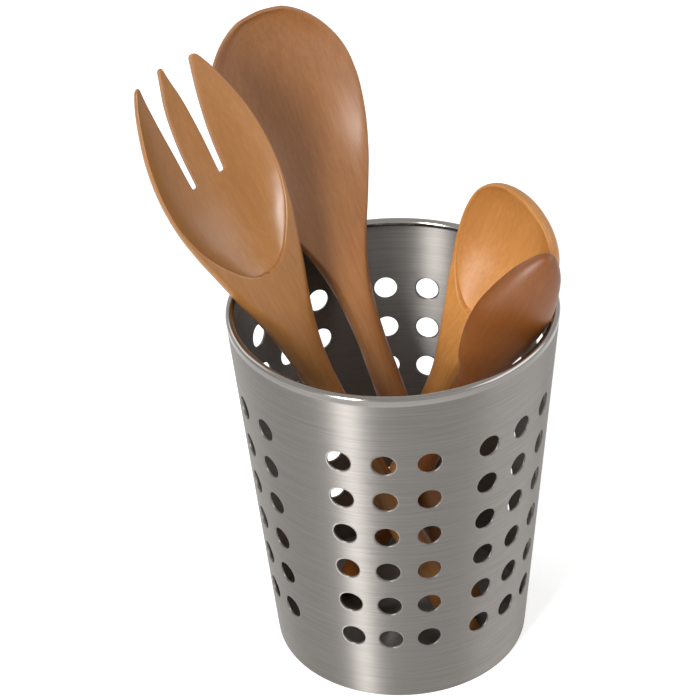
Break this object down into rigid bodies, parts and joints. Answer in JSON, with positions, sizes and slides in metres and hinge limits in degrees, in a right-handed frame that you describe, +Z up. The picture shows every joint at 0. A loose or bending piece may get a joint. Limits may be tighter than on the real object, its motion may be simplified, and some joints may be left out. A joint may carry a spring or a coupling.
{
  "type": "utensil crock",
  "caption": "Tapered perforated steel utensil holder with a rolled rim, holding a slotted wooden serving fork and wooden spoons that lift out.",
  "frame": {"origin": "centre of the circle that the holder stands on, at the height of the surface it rests on", "axes": "+Z up along the holder's axis; -Y towards the pictured front; +X to the right seen from the front"},
  "size_m": [0.1546, 0.1414, 0.2383],
  "materials": {
    "brushed_steel": "brushed round the holder, satin",
    "fork_wood": "satin varnish",
    "large_spoon_wood": "satin varnish",
    "deep_spoon_wood": "satin varnish",
    "small_spoon_wood": "satin varnish"
  },
  "bodies": {
    "holder": {"holder_wall": "brushed_steel", "holder_base": "brushed_steel"},
    "fork": {"serving_fork": "fork_wood"},
    "big_spoon": {"large_spoon": "large_spoon_wood"},
    "bowl_spoon": {"deep_spoon": "deep_spoon_wood"},
    "little_spoon": {"small_spoon": "small_spoon_wood"}
  },
  "joints": [
    {"name": "fork_lift", "type": "slide", "parent": "holder", "child": "fork", "axis": [-0.4537, 0.2792, 0.8463], "range_m": [0, 0.18]},
    {"name": "big_spoon_lift", "type": "slide", "parent": "holder", "child": "big_spoon", "axis": [-0.3125, 0.3546, 0.8813], "range_m": [0, 0.172]},
    {"name": "bowl_spoon_lift", "type": "slide", "parent": "holder", "child": "bowl_spoon", "axis": [0.3073, -0.1563, 0.9387], "range_m": [0, 0.162]},
    {"name": "little_spoon_lift", "type": "slide", "parent": "holder", "child": "little_spoon", "axis": [0.3985, -0.1625, 0.9027], "range_m": [0, 0.17]}
  ]
}
